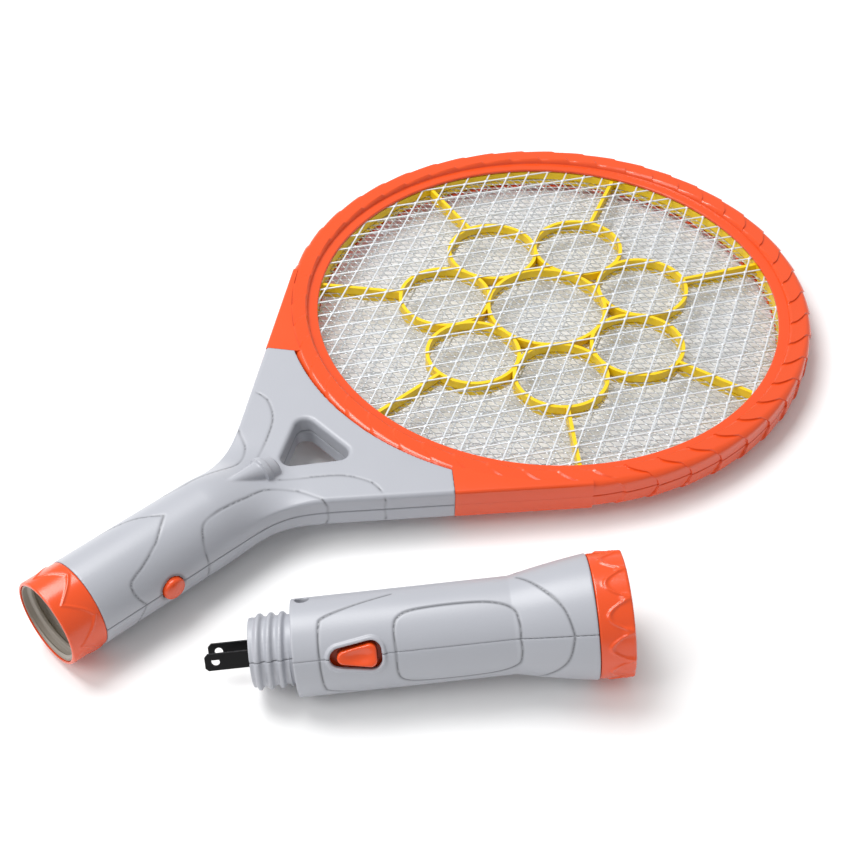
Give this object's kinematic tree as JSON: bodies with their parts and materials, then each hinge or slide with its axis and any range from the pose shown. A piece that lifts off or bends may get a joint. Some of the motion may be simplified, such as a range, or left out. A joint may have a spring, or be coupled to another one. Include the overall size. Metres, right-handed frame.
{
  "type": "electric fly swatter",
  "caption": "Racket-shaped electric fly swatter with a triangular window in its neck, a layered mesh head and a separate torch that screws into the handle.",
  "frame": {"origin": "centre of the handle's open mouth, on the racket's axis, in the middle plane of its head", "axes": "+X along the racket's axis from the mouth to the head, +Z square to the head and up, +Y to the side away from the torch"},
  "size_m": [0.3955, 0.2897, 0.0518],
  "materials": {
    "white_shell": "satin",
    "white_sleeve": "matt",
    "orange": "gloss",
    "outer_wire": "satin",
    "electrode_wire": "satin",
    "yellow": "satin",
    "cream_plastic": "matt",
    "brass": "bright",
    "board": "satin",
    "dark_plastic": "matt",
    "red_film": "gloss",
    "wire_cover": "satin",
    "screw_steel": "bright",
    "lens": "clear",
    "reflector": "mirror bright",
    "white_board": "satin",
    "led": "clear",
    "black_blade": "satin",
    "cell_wrap": "gloss"
  },
  "bodies": {
    "racket": {"handle_top_shell": "white_shell", "handle_bottom_shell": "white_shell", "handle_collar": "orange", "thread_sleeve": "white_sleeve", "head_frame_top": "orange", "head_frame_bottom": "orange", "outer_mesh_top": "outer_wire", "outer_mesh_bottom": "outer_wire", "electrode_mesh": "electrode_wire", "spacer_upper": "yellow", "spacer_lower": "yellow", "contact_block": "cream_plastic", "contact_springs": "brass", "high_voltage_board": "board", "transformer": "dark_plastic", "capacitor": "red_film", "push_switch": "dark_plastic", "electrode_leads": "wire_cover", "neck_screws": "screw_steel"},
    "button": {"racket_button": "orange"},
    "battery": {"battery_cell": "cell_wrap"},
    "torch": {"torch_upper_shell": "white_shell", "torch_lower_shell": "white_shell", "torch_bezel": "orange", "torch_lens": "lens", "torch_reflector": "reflector", "led_board": "white_board", "leds": "led", "charging_board": "board", "torch_switch_body": "dark_plastic", "torch_screws": "screw_steel", "plug_carrier": "dark_plastic", "plug_blades": "black_blade"},
    "switch": {"torch_switch_button": "orange"}
  },
  "joints": [
    {"name": "racket_button_press", "type": "slide", "parent": "racket", "child": "button", "axis": [0, 1, 0], "range_m": [0, 0.0015], "stiffness_N_per_m": 800, "springref_m": -0.0008},
    {"name": "torch_swing", "type": "hinge", "parent": "racket", "child": "battery", "pos_m": [0.02659, -0.01991, 0], "axis": [0.0818, 0.1148, -0.99], "range_deg": [0, 142.41]},
    {"name": "torch_push", "type": "slide", "parent": "battery", "child": "torch", "axis": [-0.7804, 0.6208, -0.0751], "range_m": [0, 0.0342]},
    {"name": "torch_switch_slide", "type": "slide", "parent": "torch", "child": "switch", "axis": [0.7804, -0.6208, 0.0751], "range_m": [-0.0022, 0.0014]}
  ]
}
